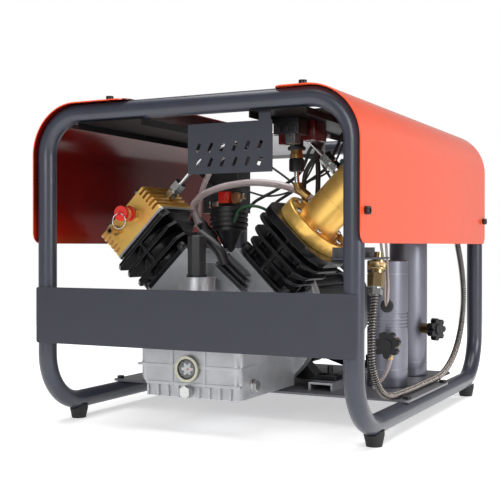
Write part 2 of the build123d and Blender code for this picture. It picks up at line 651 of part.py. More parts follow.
# ---------------------------------------------------------- pipes and hoses
PIPE_START = LEFT.from_local_coords(Vector(OUTLET_X, -HEAD_BACK, OUTLET_D))
PIPE_END = RIGHT.from_local_coords(Vector(0, -BARREL_R, PORT_D))
PIPE_ROUTE = [
    PIPE_START + RIGHT_UP * 24,
    PIPE_START + RIGHT_UP * 88,
    Vector(2, -148, 396),
    Vector(50, -143, 401),
    PIPE_END + LEFT_UP * 70,
    PIPE_END + LEFT_UP * 24,
]


def discharge_pipe():
    """The steel pipe from the left head over to the right barrel."""
    return pipe(PIPE_ROUTE, bend_radii(PIPE_ROUTE), PIPE_R)


def pipe_nuts():
    """Union nuts at both ends of the steel pipe."""
    nuts = []
    for start, out in ((PIPE_START, RIGHT_UP), (PIPE_END, LEFT_UP)):
        nut = cylinder(6.0, start - out * 10, start + out * 3)
        nut = nut + hexagon(15.0, start + out * 2, start + out * 12)
        nut = nut + cylinder(6.0, start + out * 12, start + out * 14)
        nut = nut + hexagon(17.0, start + out * 14, start + out * 28)
        nuts.append(nut - cylinder(PIPE_R, start + out * 24, start + out * 29))
    return nuts


ARCH_ROUTE = [
    (-87.0, -109.5, 278.0),
    (-100.5, -109.5, 304.0),
    (-81.5, -111.0, 321.0),
    (-46.0, -114.0, 332.0),
    (4.0, -118.0, 337.0),
    (48.0, -117.0, 332.0),
    (77.0, -112.0, 322.0),
    (96.0, -104.0, 309.0),
]
RISER_ROUTE = [
    (-94.0, -98.0, 286.0),
    (-93.0, -98.0, 310.0),
    (-84.0, -99.0, 338.0),
    (-68.0, -98.0, 366.0),
    (-44.0, -96.0, 384.0),
]
DRAIN_ROUTE = [
    (183.0, -38.0, 84.3),
    (181.0, -43.0, 71.0),
    (175.0, -50.0, 57.0),
    (165.0, -58.0, 46.2),
]


def clear_hoses():
    """The formed clear hoses: the arch, the riser behind it and the drain tube."""
    hoses = []
    for route, radius in ((ARCH_ROUTE, CLEAR_R), (RISER_ROUTE, CLEAR_R - 1), (DRAIN_ROUTE, DRAIN_R)):
        points = [Vector(p) for p in route]
        hoses.append(pipe(points, bend_radii(points), radius))
    return hoses


def air_filter():
    """A mushroom of stacked rings on a funnel, standing behind the V."""
    x, y = FILTER
    body = cone(9.0, 20.0, (x, y, 246), (x, y, 268))
    for i, radius in enumerate((27.0, 28.5, 28.5, 28.5, 27.5)):
        low = 268 + i * 7.0
        body = body + cylinder(radius, (x, y, low), (x, y, low + 5.0))
        body = body + cylinder(radius - 2.5, (x, y, low + 5.0), (x, y, low + 7.0))
    return body + cylinder(9.0, (x, y, BELL_TOP), (x, y, 246))


# --------------------------------------------------------------------- motor
def bell_housing():
    """The cast adaptor between the crankcase and the motor."""
    y0, y1 = BELL_Y
    disc = cylinder(BELL_R, (CRANK_X, y0, CRANK_Z), (CRANK_X, y1, CRANK_Z))
    disc = disc & block((CRANK_X - 200, y0, FLOOR_Z + 2), (CRANK_X + 200, y1, BELL_TOP))
    disc = disc - cylinder(60.0, (CRANK_X, y0 + 6, CRANK_Z), (CRANK_X, y1 + 1, CRANK_Z))
    return disc - cylinder(14.0, (CRANK_X, y0 - 1, CRANK_Z), (CRANK_X, y1 + 1, CRANK_Z))


def motor_housing():
    """The finned motor shell with its two foot plates."""
    y0, y1 = MOTOR_Y
    shell = cylinder(MOTOR_R, (CRANK_X, y0, CRANK_Z), (CRANK_X, y1, CRANK_Z))
    for i in range(32):
        dx, dz = polar(MOTOR_R + 4.0, 360 / 32 * (i + 0.5))
        fin = Box(12.0, y1 - y0 - 24, 2.4)
        place = Pos(CRANK_X + dx, (y0 + y1) / 2, CRANK_Z + dz)
        shell = shell + place * Rot(0, -360 / 32 * (i + 0.5), 0) * fin
    top = FLOOR_Z + RAIL_H
    for side in (-1, 1):
        x = CRANK_X + side * RAIL_X
        foot = [(x + side * 14, top), (x + side * 14, top + 7), (x - side * 18, top + 8),
                (CRANK_X + side * 62, CRANK_Z - 48), (CRANK_X + side * 30, top + 14), (x - side * 40, top)]
        for y in (y0 + 4, y1 - 30):
            lug = prism([(px, y, pz) for px, pz in foot], (0, 26, 0))
            shell = shell + lug
    shell = shell - cylinder(MOTOR_R - 6, (CRANK_X, y0 - 1, CRANK_Z), (CRANK_X, y1 - 18, CRANK_Z))
    shell = shell - cylinder(BEARING_R, (CRANK_X, y1 - 19, CRANK_Z), (CRANK_X, y1 - 3, CRANK_Z))
    shell = shell - cylinder(14.0, (CRANK_X, y1 - 19, CRANK_Z), (CRANK_X, y1 + 1, CRANK_Z))
    for x, y in rail_bolt_places():
        shell = shell - cylinder(10.5, (x, y, top - 1), (x, y, top + 30))
    return shell


def motor_rails():
    """Two aluminium channels, open side down, bolted to the base plate."""
    rails = []
    wall = 2.6
    for side in (-1, 1):
        x = CRANK_X + side * RAIL_X
        low, high = x - RAIL_W / 2, x + RAIL_W / 2
        bar = block((low, -87, FLOOR_Z), (high, 160, FLOOR_Z + RAIL_H))
        bar = bar - block((low + wall, -90, FLOOR_Z - 1), (high - wall, 170, FLOOR_Z + RAIL_H - wall))
        for bx, by in rail_bolt_places():
            if abs(bx - x) < 1:
                bar = bar - cylinder(4.0, (bx, by, FLOOR_Z), (bx, by, FLOOR_Z + 20))
        rails.append(bar)
    return rails


def fan_cowl():
    """The louvred cowl over the tail fan."""
    y0 = MOTOR_Y[1]
    cup = cylinder(88.0, (CRANK_X, y0, CRANK_Z), (CRANK_X, COWL_END, CRANK_Z))
    cup = cup - cylinder(86.0, (CRANK_X, y0 - 1, CRANK_Z), (CRANK_X, COWL_END - 2, CRANK_Z))
    for radius in (24.0, 36.0, 48.0, 60.0, 72.0):
        for quarter in range(4):
            ends = (CRANK_X, COWL_END - 5, CRANK_Z), (CRANK_X, COWL_END + 5, CRANK_Z)
            gap = ring(radius + 3.5, radius - 3.5, *ends)
            dx, dz = polar(100.0, 45 + 90 * quarter)
            wedge = [(CRANK_X, COWL_END - 9, CRANK_Z)]
            for turn in (-39, 0, 39):
                wx, wz = polar(140.0, 45 + 90 * quarter + turn)
                wedge.append((CRANK_X + wx, COWL_END - 9, CRANK_Z + wz))
            cup = cup - (gap & prism(wedge, (0, 20, 0)))
    return cup


def stator():
    """The laminated core in the shell, with the winding's two end heads."""
    core = ring(MOTOR_R - 6, 46.0, (CRANK_X, -40, CRANK_Z), (CRANK_X, 80, CRANK_Z))
    for low, high in ((-60, -40), (80, 100)):
        core = core + ring(68.0, 50.0, (CRANK_X, low, CRANK_Z), (CRANK_X, high, CRANK_Z))
    return core


def bearings():
    """Three deep-groove bearings, each shown as one ring."""
    rings = []
    for low, high in (FRONT_BEARING, REAR_BEARING, TAIL_BEARING):
        ends = (CRANK_X, low, CRANK_Z), (CRANK_X, high, CRANK_Z)
        rings.append(ring(BEARING_R, JOURNAL_R + RUN_FIT, *ends))
    return rings


def crankshaft():
    """One throw between two webs, running on as the motor's rotor shaft."""
    shaft = cylinder(JOURNAL_R, (CRANK_X, -216, CRANK_Z), (CRANK_X, -182, CRANK_Z))
    shaft = shaft + cylinder(JOURNAL_R, (CRANK_X, -116, CRANK_Z), (CRANK_X, 186, CRANK_Z))
    shaft = shaft + cylinder(44.0, (CRANK_X, -36, CRANK_Z), (CRANK_X, 76, CRANK_Z))
    shaft = shaft + cylinder(PIN_R, PIN + Y * -176, PIN + Y * -122)
    for low, high in ((-182, -172), (-126, -116)):
        web = cylinder(40.0, (CRANK_X, low, CRANK_Z), (CRANK_X, high, CRANK_Z))
        for side in (-1, 1):
            cut = [(0, 50), (side * 50, 50), (side * 50, -4), (side * 17, -4), (side * 17, 30), (0, 34)]
            web = web - prism([(CRANK_X + x, low - 1, CRANK_Z + z) for x, z in cut], (0, high - low + 2, 0))
        shaft = shaft + web
    return shaft


def cooling_fan():
    """The tail fan: nine flat blades on a hub."""
    hub = ring(24.0, JOURNAL_R, (CRANK_X, 150, CRANK_Z), (CRANK_X, 182, CRANK_Z))
    for i in range(9):
        dx, dz = polar(49.0, 40 * i)
        blade = Box(56.0, 24.0, 2.5)
        hub = hub + Pos(CRANK_X + dx, 166, CRANK_Z + dz) * Rot(0, -40 * i, 0) * blade
    return hub - cylinder(JOURNAL_R, (CRANK_X, 140, CRANK_Z), (CRANK_X, 190, CRANK_Z))


def connecting_rod(y_mid, up):
    """A rod parallel to its cylinder, short of the piston so that it clears it."""
    pin = PIN + Y * y_mid
    small = pin + up * ROD
    half = Y * 8
    body = cylinder(17.0, pin - half, pin + half) + cylinder(9.0, small - half, small + half)
    side = up.cross(Y)
    corners = [pin + side * 9, small + side * 6, small - side * 6, pin - side * 9]
    body = body + prism([c - Y * 5 for c in corners], (0, 10, 0))
    body = body - cylinder(PIN_R + RUN_FIT, pin - Y * 9, pin + Y * 9)
    return body - cylinder(5.0, small - Y * 9, small + Y * 9)


def piston(frame, plunger):
    """A hollow piston with two ring grooves; the right one carries a plunger."""
    along = THROW / sqrt(2)
    crown = along + sqrt(REAL_ROD ** 2 - along ** 2) + CROWN_H
    cup = cylinder(PISTON_R, (0, 0, crown - 42), (0, 0, crown))
    cup = cup - cylinder(26.6, (0, 0, crown - 43), (0, 0, crown - 7))
    for z in (6.0, 12.0):
        cup = cup - ring(PISTON_R + 1, PISTON_R - 1.6, (0, 0, crown - z - 2), (0, 0, crown - z))
    if plunger:
        cup = cup + cylinder(7.95, (0, 0, crown - 1), (0, 0, crown + 90))
    return frame * cup


# -------------------------------------------------------------------- stacks
def stack(place, top, lines, grooves):
    """One filter stack: a round column with turned lines and cooling grooves."""
    x, y = place
    body = cylinder(STACK_R, (x, y, FLOOR_Z), (x, y, top))
    body = chamfer(body.edges().filter_by(GeomType.CIRCLE), 1.5)
    for z in lines:
        body = body - ring(STACK_R + 2, STACK_R - 1.2, (x, y, z), (x, y, z + 1.2))
    for z in grooves:
        body = body - ring(STACK_R + 2, STACK_R - 2.0, (x, y, z), (x, y, z + 2.6))
    return body - cylinder(20.0, (x, y, FLOOR_Z + 14), (x, y, top - 16))


def front_stack():
    body = stack(FRONT_STACK, FRONT_STACK_TOP, (68.0, 205.0), FRONT_GROOVES)
    x, _, z = FRONT_KNOB
    return body - cylinder(6.0, (x, -40, z), (x, -6, z))


def rear_stack():
    body = stack(REAR_STACK, REAR_STACK_TOP, (64.0, 270.0), ())
    return body - cylinder(6.0, rear_valve_point(16), rear_valve_point(46))


def rear_valve_point(out):
    """A point on the rear drain valve's axis, out millimetres from its stack's centre."""
    return Vector(*REAR_STACK, REAR_KNOB_Z) + REAR_OUT * out


def drain_valves():
    """The two drain valve bodies that carry the star knobs."""
    x, y, z = FRONT_KNOB
    column = cylinder(STACK_R, (*FRONT_STACK, z - 30), (*FRONT_STACK, z + 30))
    front = cylinder(6.0, (x, -8, z), (x, -26, z)) + (cylinder(9.5, (x, -16, z), (x, y + 8.5, z)) - column)
    front = front + cylinder(4.5, (x, ELBOW_Y, z), (x, ELBOW_Y, z - 22))
    front = front - cylinder(4.0 + RUN_FIT, (x, y - 9, z), (x, -30, z))
    at = rear_valve_point
    rear = cylinder(6.0, at(18), at(32)) + cylinder(8.0, at(30.5), at(REAR_KNOB_OUT - 5.5))
    return [front, rear - cylinder(4.0 + RUN_FIT, at(26), at(REAR_KNOB_OUT + 9))]


def star_knob(centre, out, thick, radius, stem):
    """A seven-lobed hand knob with its threaded stem behind it."""
    centre, out = Vector(centre), Vector(out)
    plane = Plane(origin=centre - out * (thick / 2), z_dir=out)
    body = Solid.make_cylinder(radius - 5.0, thick, plane)
    for i in range(7):
        x, y = polar(radius - 4.6, i * 360 / 7)
        tip = plane.from_local_coords(Vector(x, y, 0))
        body = body + Solid.make_cylinder(4.6, thick, Plane(origin=tip, z_dir=out))
    body = body + Solid.make_cylinder(8.5, thick + 2.5, plane)
    return body + cylinder(4.0, centre - out * (thick / 2 + stem), centre)


# ---------------------------------------------------------------------- hose
HOSE_ROUTE = [
    COUPLER,
    (207.0, -178.0, 151.0),
    (208.0, -185.5, 126.0),
    (209.0, -187.5, 100.0),
    (210.5, -178.5, 75.0),
    (212.5, -160.0, 56.5),
    (214.5, -134.5, 48.0),
    (216.5, -94.0, 47.0),
    (218.0, -42.0, 47.0),
    (217.5, 10.0, 47.5),
    (218.0, 62.0, 47.0),
    (216.5, 112.0, 49.0),
    (214.5, 166.0, 60.0),
    (213.5, 214.0, 84.0),
    (213.0, 246.0, 122.0),
    (213.5, 254.0, 166.0),
    (213.0, 240.0, 212.0),
    (211.5, 216.0, 254.0),
    (208.0, 198.0, 296.0),
]


def along_coupler(out):
    return COUPLER + COUPLER_UP * out


def quick_coupler():
    """The hose's zinc nut and the coupler's brass body with its plug end."""
    at = along_coupler
    nut = hexagon(17.0, at(0), at(8)) + cylinder(7.5, at(8), at(10))
    body = hexagon(19.0, at(10), at(28)) + cylinder(8.5, at(28), at(43)) + cylinder(9.8, at(43), at(44.6))
    return [nut, body + cylinder(5.0, at(44), at(56))]


def coupler_sleeve():
    """The knurled sleeve that slides back to free the coupler."""
    return ring(11.5, 8.5 + RUN_FIT, along_coupler(33), along_coupler(42.9))


def hose_outlet():
    """The fitting under the right cover that the hose runs up into."""
    end = Vector(HOSE_ROUTE[-1])
    out = (end - Vector(HOSE_ROUTE[-2])).normalized()
    body = hexagon(15.0, end, end + out * 14) + cylinder(6.0, end + out * 14, end + out * 32)
    return body + slab((182, end.Y - 26, 326), (214, end.Y + 4, 346), 3.0, Axis.Y)


def hose():
    points = [Vector(p) for p in HOSE_ROUTE]
    radii = bend_radii(points)
    print("hose bends", [round(r) for r in radii])
    tube = pipe(points, radii, HOSE_R)
    length = FilletPolyline(*points, radius=radii).length
    ratio = tube.volume / (pi * HOSE_R ** 2 * length)
    print("hose length", round(length, 1), "volume ratio", round(ratio, 4))
    return tube


# --------------------------------------------------------------------- write
PARTS = {
    "front_hoop": lambda: hoop(-1),
    "rear_hoop": lambda: hoop(1),
    "skid_rails": lambda: [rail(-1), rail(1)],
    "front_guard": front_guard,
    "rubber_feet": lambda: [rubber_foot(s * HALF_W, y) for s in (-1, 1) for y in FOOT_Y],
    "base_plate": base_plate,
    "base_bolts": base_bolts,
    "right_cover": lambda: cover(1, RIGHT_COVER_IN),
    "left_cover": lambda: cover(-1, LEFT_COVER_IN),
    "cover_bolts": cover_bolts,
    "top_trays": lambda: [tray(1, RIGHT_TRAY_IN), tray(-1, LEFT_TRAY_IN)],
    "slotted_bracket": slotted_bracket,
    "hose_bracket": hose_bracket,
    "control_panel": control_panel,
    "pressure_gauge": pressure_gauge,
    "gauge_needle": gauge_needle,
    "power_switch": power_switch,
    "switch_rocker": switch_rocker,
    "cable_gland": cable_gland,
    "control_box": control_box,
    "crankcase": crankcase,
    "sight_glass": sight_glass,
    "crankcase_bolts": crankcase_bolts,
    "breather": breather,
    "left_cylinder": left_cylinder,
    "right_cylinder": right_cylinder,
    "valve_plate": valve_plate,
    "left_head": left_head,
    "right_flange": right_flange,
    "right_barrel": right_barrel,
    "head_bolts": head_bolts,
    "cylinder_bolts": cylinder_bolts,
    "head_fittings": lambda: [safety_valve(), outlet_nozzle()],
    "safety_cap": safety_cap,
    "pull_ring": pull_ring,
    "discharge_pipe": discharge_pipe,
    "pipe_nuts": pipe_nuts,
    "clear_hoses": clear_hoses,
    "air_filter": air_filter,
    "bell_housing": bell_housing,
    "motor_housing": motor_housing,
    "motor_rails": motor_rails,
    "fan_cowl": fan_cowl,
    "stator": stator,
    "bearings": bearings,
    "crankshaft": crankshaft,
    "cooling_fan": cooling_fan,
    "left_rod": lambda: connecting_rod(LEFT_Y, LEFT_UP),
    "right_rod": lambda: connecting_rod(RIGHT_Y, RIGHT_UP),
    "left_piston": lambda: piston(LEFT, False),
    "right_piston": lambda: piston(RIGHT, True),
    "front_stack": front_stack,
    "rear_stack": rear_stack,
    "drain_valves": drain_valves,
    "front_knob": lambda: star_knob(FRONT_KNOB, (0, -1, 0), 12.0, KNOB_R, 12.0),
    "rear_knob": lambda: star_knob(rear_valve_point(REAR_KNOB_OUT), REAR_OUT, 10.0, KNOB_R - 1.5, 20.0),
    "quick_coupler": quick_coupler,
    "coupler_sleeve": coupler_sleeve,
    "hose_outlet": hose_outlet,
    "hose": hose,
}

os.makedirs("parts", exist_ok=True)
for name, make in PARTS.items():
    shape = make()
    if isinstance(shape, list):
        shape = Compound(children=shape)
    export_step(shape, f"parts/{name}.step")
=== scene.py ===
import json
import math

import bmesh
import bpy
from mathutils import Matrix, Vector


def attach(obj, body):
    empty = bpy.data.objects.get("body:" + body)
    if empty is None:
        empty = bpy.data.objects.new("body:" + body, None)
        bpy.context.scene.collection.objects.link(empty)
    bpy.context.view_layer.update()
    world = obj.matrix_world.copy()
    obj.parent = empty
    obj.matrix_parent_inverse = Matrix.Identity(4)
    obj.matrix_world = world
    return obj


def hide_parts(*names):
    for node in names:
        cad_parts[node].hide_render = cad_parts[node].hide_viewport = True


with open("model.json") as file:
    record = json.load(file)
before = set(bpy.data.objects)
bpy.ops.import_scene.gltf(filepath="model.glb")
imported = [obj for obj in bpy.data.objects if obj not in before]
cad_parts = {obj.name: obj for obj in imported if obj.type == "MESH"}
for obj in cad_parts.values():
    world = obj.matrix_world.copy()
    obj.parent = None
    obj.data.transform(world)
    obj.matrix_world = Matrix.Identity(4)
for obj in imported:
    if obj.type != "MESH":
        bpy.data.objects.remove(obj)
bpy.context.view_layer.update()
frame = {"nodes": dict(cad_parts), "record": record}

NODES = frame["nodes"]
X, Y, Z = Vector((1, 0, 0)), Vector((0, 1, 0)), Vector((0, 0, 1))
LEFT_UP = Vector((-1, 0, 1)).normalized()
RIGHT_UP = Vector((1, 0, 1)).normalized()


def mm(x, y, z):
    return Vector((x, y, z)) / 1000


# ------------------------------------------------------------ camera and light
LENS = 69.43
CAMERA_PLACE = (0.6205, -1.3428, 0.2455)
CAMERA_TILT = -0.004
CAMERA_TURN = 0.4678
SKY_LOW = 0.42
SKY_HIGH = 0.12
BACKDROP = 1.0
FLOOR_GLOW = 0.45
FLOOR_R = 1.7
FLOOR_SIDES = 128


def make_camera():
    data = bpy.data.cameras.new("camera")
    data.lens = LENS
    data.sensor_width = 36.0
    data.clip_start = 0.05
    camera = bpy.data.objects.new("camera", data)
    camera.location = CAMERA_PLACE
    camera.rotation_euler = (math.pi / 2 + CAMERA_TILT, 0, CAMERA_TURN)
    bpy.context.scene.collection.objects.link(camera)
    bpy.context.scene.camera = camera


def area_light(name, place, target, size, power):
    data = bpy.data.lights.new(name, "AREA")
    data.shape = "RECTANGLE"
    data.size, data.size_y = size
    data.energy = power
    lamp = bpy.data.objects.new(name, data)
    lamp.location = place
    aim = Vector(target) - Vector(place)
    lamp.rotation_euler = aim.to_track_quat("-Z", "Y").to_euler()
    bpy.context.scene.collection.objects.link(lamp)


def make_world():
    """A sky dimmer above than at the horizon, which the camera sees as plain white."""
    world = bpy.data.worlds.new("studio")
    world.use_nodes = True
    background = world.node_tree.nodes["Background"]
    background.inputs["Color"].default_value = (1, 1, 1, 1)
    where = node(world, "TexCoord").outputs["Generated"]
    height = node(world, "SeparateXYZ", {"Vector": where}).outputs["Z"]
    fade = node(world, "MapRange", {"Value": height, "From Min": 0.2, "From Max": 0.45,
                                    "To Min": SKY_LOW, "To Max": SKY_HIGH}, interpolation_type="SMOOTHSTEP")
    seen = node(world, "LightPath").outputs["Is Camera Ray"]
    strength = node(world, "Mix", {0: seen, 2: fade.outputs["Result"], 3: BACKDROP}).outputs[0]
    world.node_tree.links.new(strength, background.inputs["Strength"])
    bpy.context.scene.world = world


def make_floor():
    """A round white floor that glows a little."""
    mesh = bpy.data.meshes.new("floor")
    turns = [2 * math.pi * i / FLOOR_SIDES for i in range(FLOOR_SIDES)]
    rim = [(FLOOR_R * math.cos(turn), FLOOR_R * math.sin(turn), 0) for turn in turns]
    mesh.from_pydata(rim, [], [tuple(range(FLOOR_SIDES))])
    mesh.materials.append(finish("floor_white", (0.9, 0.9, 0.9), 0.75, vary=0.01, blotch=2.0, grain=60.0,
                                 depth=0.0001, Emission_Color=(1, 1, 1, 1), Emission_Strength=FLOOR_GLOW))
    floor = bpy.data.objects.new("floor", mesh)
    bpy.context.scene.collection.objects.link(floor)


def make_studio():
    make_world()
    make_floor()
    bpy.context.scene.view_settings.view_transform = "Standard"
    area_light("key_right", (2.4, -0.5, 0.9), (0.1, 0, 0.2), (0.8, 1.2), 30)
    area_light("front", (0.3, -2.6, 0.9), (0.0, 0, 0.2), (0.8, 0.8), 16)
    area_light("top", (0.1, -0.2, 3.0), (0, 0, 0), (3.0, 3.0), 120)


# ------------------------------------------------------------------- materials
def node(material, kind, inputs=None, **settings):
    made = material.node_tree.nodes.new("ShaderNode" + kind)
    for key, value in settings.items():
        setattr(made, key, value)
    for socket, value in (inputs or {}).items():
        if isinstance(value, bpy.types.NodeSocket):
            material.node_tree.links.new(value, made.inputs[socket])
        else:
            made.inputs[socket].default_value = value
    return made


def blank(name, rough, metal=0.0, **sockets):
    """A Principled material with its uniform numbers on the shader's own sockets."""
    material = bpy.data.materials.new(name)
    material.use_nodes = True
    shader = material.node_tree.nodes["Principled BSDF"]
    shader.inputs["Roughness"].default_value = rough
    shader.inputs["Metallic"].default_value = metal
    for socket, value in sockets.items():
        shader.inputs[socket.replace("_", " ")].default_value = value
    return material, shader


def shade(tint, factor):
    return tuple(min(1.0, max(0.0, c * factor)) for c in tint) + (1.0,)


def finish(name, tint, rough, metal=0.0, vary=0.1, blotch=30.0, grain=700.0, depth=0.00005,
           rough_span=0.06, space=None, edge=None, edge_size=0.0006, **sockets):
    """Colour that drifts, roughness that breaks up and a fine bump.

    space is (rotation, scale) of the grain; edge is the paler tint of worn edges.
    """
    material, shader = blank(name, rough, metal, **sockets)
    link = material.node_tree.links.new
    where = node(material, "TexCoord").outputs["Object"]
    fine_where = where
    if space:
        rotation, scale = space
        fine_where = node(material, "Mapping", {"Vector": where, "Rotation": rotation, "Scale": scale},
                          vector_type="TEXTURE").outputs["Vector"]
    broad = node(material, "TexNoise", {"Vector": where, "Scale": blotch, "Detail": 5.0, "Roughness": 0.6})
    fine = node(material, "TexNoise", {"Vector": fine_where, "Scale": grain, "Detail": 3.0})
    ramp = node(material, "ValToRGB", {"Fac": broad.outputs["Fac"]})
    ramp.color_ramp.elements[0].position = 0.3
    ramp.color_ramp.elements[1].position = 0.7
    ramp.color_ramp.elements[0].color = shade(tint, 1 - vary)
    ramp.color_ramp.elements[1].color = shade(tint, 1 + vary)
    colour = ramp.outputs["Color"]
    if edge:
        soft = node(material, "Bevel", {"Radius": edge_size}, samples=4)
        flat = node(material, "NewGeometry")
        agree = node(material, "VectorMath", {0: soft.outputs["Normal"], 1: flat.outputs["Normal"]},
                     operation="DOT_PRODUCT")
        worn = node(material, "MapRange", {"Value": agree.outputs["Value"],
                                           "From Min": 0.985, "From Max": 0.85})
        mix = node(material, "Mix", {0: worn.outputs["Result"], 6: colour, 7: (*edge, 1.0)}, data_type="RGBA")
        colour = mix.outputs[2]
    link(colour, shader.inputs["Base Color"])
    rough_map = node(material, "MapRange", {"Value": fine.outputs["Fac"], "To Min": rough - rough_span,
                                            "To Max": rough + rough_span})
    link(rough_map.outputs["Result"], shader.inputs["Roughness"])
    bump = node(material, "Bump", {"Height": fine.outputs["Fac"], "Strength": 1.0, "Distance": depth})
    link(bump.outputs["Normal"], shader.inputs["Normal"])
    return material


def turned(name, tint, rough, up, **more):
    """A lathe-turned metal: fine rings round the direction up."""
    spin = up.to_track_quat("Z", "Y").to_euler()
    return finish(name, tint, rough, 0.75, grain=1400.0, depth=0.0000015, rough_span=0.05,
                  space=(spin, (400.0, 400.0, 1.0)), **more)


def paint_with_painted_shade(name, low_painted_shade_tint, high_painted_shade_tint, start, end):
    """Gloss paint with painted shade: its colour darkens between two heights, in place of the shade on the
    inside of a folded cover.
    """
    material, shader = blank(name, 0.16, Specular_IOR_Level=0.35)
    where = node(material, "TexCoord").outputs["Object"]
    height = node(material, "SeparateXYZ", {"Vector": where}).outputs["Z"]
    share = node(material, "MapRange", {"Value": height, "From Min": start, "From Max": end},
                 interpolation_type="SMOOTHSTEP").outputs["Result"]
    # Painted shade: the red goes from the lower tint to the darker upper tint between the start and end
    # heights.
    tint = node(material, "Mix", {0: share, 6: (*low_painted_shade_tint, 1.0), 7: (*high_painted_shade_tint, 1.0)}, data_type="RGBA")
    material.node_tree.links.new(tint.outputs[2], shader.inputs["Base Color"])
    grain = node(material, "TexNoise", {"Vector": where, "Scale": 260.0, "Detail": 3.0})
    bump = node(material, "Bump", {"Height": grain.outputs["Fac"], "Strength": 1.0, "Distance": 0.00002})
    material.node_tree.links.new(bump.outputs["Normal"], shader.inputs["Normal"])
    return material


GOLD = (0.93, 0.58, 0.15)
GOLD_EDGE = (0.95, 0.78, 0.42)
# colour, roughness and metalness, then what else the finish needs
FINISHES = {
    "frame_paint": ((0.03, 0.034, 0.05), 0.32, 0.0,
                    {"vary": 0.12, "grain": 1500.0, "depth": 0.00004, "rough_span": 0.08,
                     "Coat_Weight": 0.15, "Coat_Roughness": 0.25}),
    "guard_paint": ((0.024, 0.027, 0.039), 0.5, 0.0, {"vary": 0.05, "grain": 1800.0, "depth": 0.00003}),
    "sheet_black": ((0.018, 0.018, 0.021), 0.42, 0.0, {"vary": 0.15, "grain": 1200.0, "depth": 0.00004}),
    "cover_orange": ((0.88, 0.085, 0.018), 0.3, 0.0,
                     {"vary": 0.03, "grain": 220.0, "depth": 0.00002, "rough_span": 0.04,
                      "Coat_Weight": 0.7, "Coat_Roughness": 0.06}),
    "base_grey": ((0.14, 0.14, 0.155), 0.4, 0.0, {"vary": 0.12, "grain": 1200.0, "depth": 0.00004}),
    "tray_black": ((0.004, 0.0035, 0.004), 0.45, 0.0,
                   {"vary": 0.2, "grain": 1200.0, "depth": 0.00004, "Specular_IOR_Level": 0.25}),
    "foot_rubber": ((0.012, 0.012, 0.013), 0.75, 0.0, {"vary": 0.3, "grain": 900.0, "depth": 0.0001}),
    "black_screw": ((0.02, 0.02, 0.022), 0.3, 0.6, {"vary": 0.2, "edge": (0.12, 0.12, 0.13)}),
    "zinc": ((0.52, 0.53, 0.52), 0.26, 1.0, {"vary": 0.08, "blotch": 160.0, "edge": (0.8, 0.8, 0.8)}),
    "cast_aluminium": ((0.38, 0.388, 0.405), 0.38, 0.65,
                       {"vary": 0.1, "blotch": 45.0, "grain": 1100.0, "depth": 0.00012, "rough_span": 0.1,
                        "edge": (0.8, 0.82, 0.85)}),
    "black_casting": ((0.003, 0.003, 0.004), 0.3, 0.0,
                      {"vary": 0.25, "grain": 900.0, "depth": 0.00004, "rough_span": 0.06,
                       "Specular_IOR_Level": 0.22, "edge": (0.2, 0.2, 0.21), "edge_size": 0.0008}),
    "black_plastic": ((0.007, 0.007, 0.009), 0.45, 0.0,
                      {"vary": 0.2, "grain": 2200.0, "depth": 0.00006, "rough_span": 0.08}),
    "brass": ((0.46, 0.33, 0.17), 0.3, 1.0, {"vary": 0.14, "blotch": 120.0, "edge": (0.72, 0.58, 0.36)}),
    "red_plastic": ((0.72, 0.028, 0.02), 0.22, 0.0,
                    {"vary": 0.08, "grain": 500.0, "depth": 0.00003, "Coat_Weight": 0.5,
                     "Coat_Roughness": 0.08}),
    "steel": ((0.66, 0.66, 0.66), 0.18, 1.0, {"vary": 0.08, "blotch": 120.0}),
    "winding": ((0.25, 0.12, 0.05), 0.35, 0.5, {"vary": 0.3, "grain": 1200.0, "depth": 0.0002}),
    "clear_tube": ((0.72, 0.62, 0.62), 0.14, 0.0,
                   {"vary": 0.06, "blotch": 60.0, "grain": 300.0, "depth": 0.00001, "rough_span": 0.04,
                    "Transmission_Weight": 0.55, "IOR": 1.4, "Coat_Weight": 0.4, "Coat_Roughness": 0.05}),
    "gold_left": (GOLD, 0.36, 0.7,
                  {"vary": 0.03, "blotch": 60.0, "grain": 1500.0, "depth": 0.000006, "edge": GOLD_EDGE}),
    "hose_rubber": ((0.02, 0.02, 0.022), 0.55, 0.0, {"vary": 0.2, "grain": 1500.0, "depth": 0.0001}),
    "spring_steel": ((0.3, 0.27, 0.25), 0.24, 1.0, {"vary": 0.2, "blotch": 300.0}),
    "wire_black": ((0.012, 0.012, 0.013), 0.42, 0.0, {"vary": 0.2, "grain": 900.0, "depth": 0.00005}),
    "wire_green": ((0.008, 0.07, 0.02), 0.35, 0.0, {"vary": 0.2, "grain": 900.0, "depth": 0.00005}),
    "lead_braid": ((0.36, 0.3, 0.28), 0.35, 0.0, {"vary": 0.2, "grain": 2600.0, "depth": 0.0002}),
    "dark_red": ((0.07, 0.004, 0.005), 0.25, 0.0, {"vary": 0.2, "grain": 500.0, "depth": 0.00003}),
    "pale_grey": ((0.6, 0.61, 0.63), 0.45, 0.0, {"vary": 0.05, "grain": 900.0, "depth": 0.00005}),
    "dark_grey": ((0.07, 0.07, 0.075), 0.4, 0.0, {"vary": 0.1, "grain": 900.0, "depth": 0.00005}),
    "yellow_zinc": ((0.42, 0.41, 0.33), 0.25, 1.0, {"vary": 0.12, "blotch": 200.0}),
    "old_brass": ((0.33, 0.2, 0.07), 0.34, 0.9, {"vary": 0.25, "blotch": 140.0}),
    "clear_glass": ((0.95, 0.97, 0.97), 0.05, 0.0,
                    {"vary": 0.01, "rough_span": 0.02, "depth": 0.000005,
                     "Transmission_Weight": 0.96, "IOR": 1.45}),
    "dial_white": ((0.85, 0.85, 0.82), 0.4, 0.0, {"vary": 0.02, "grain": 900.0, "depth": 0.00001}),
}
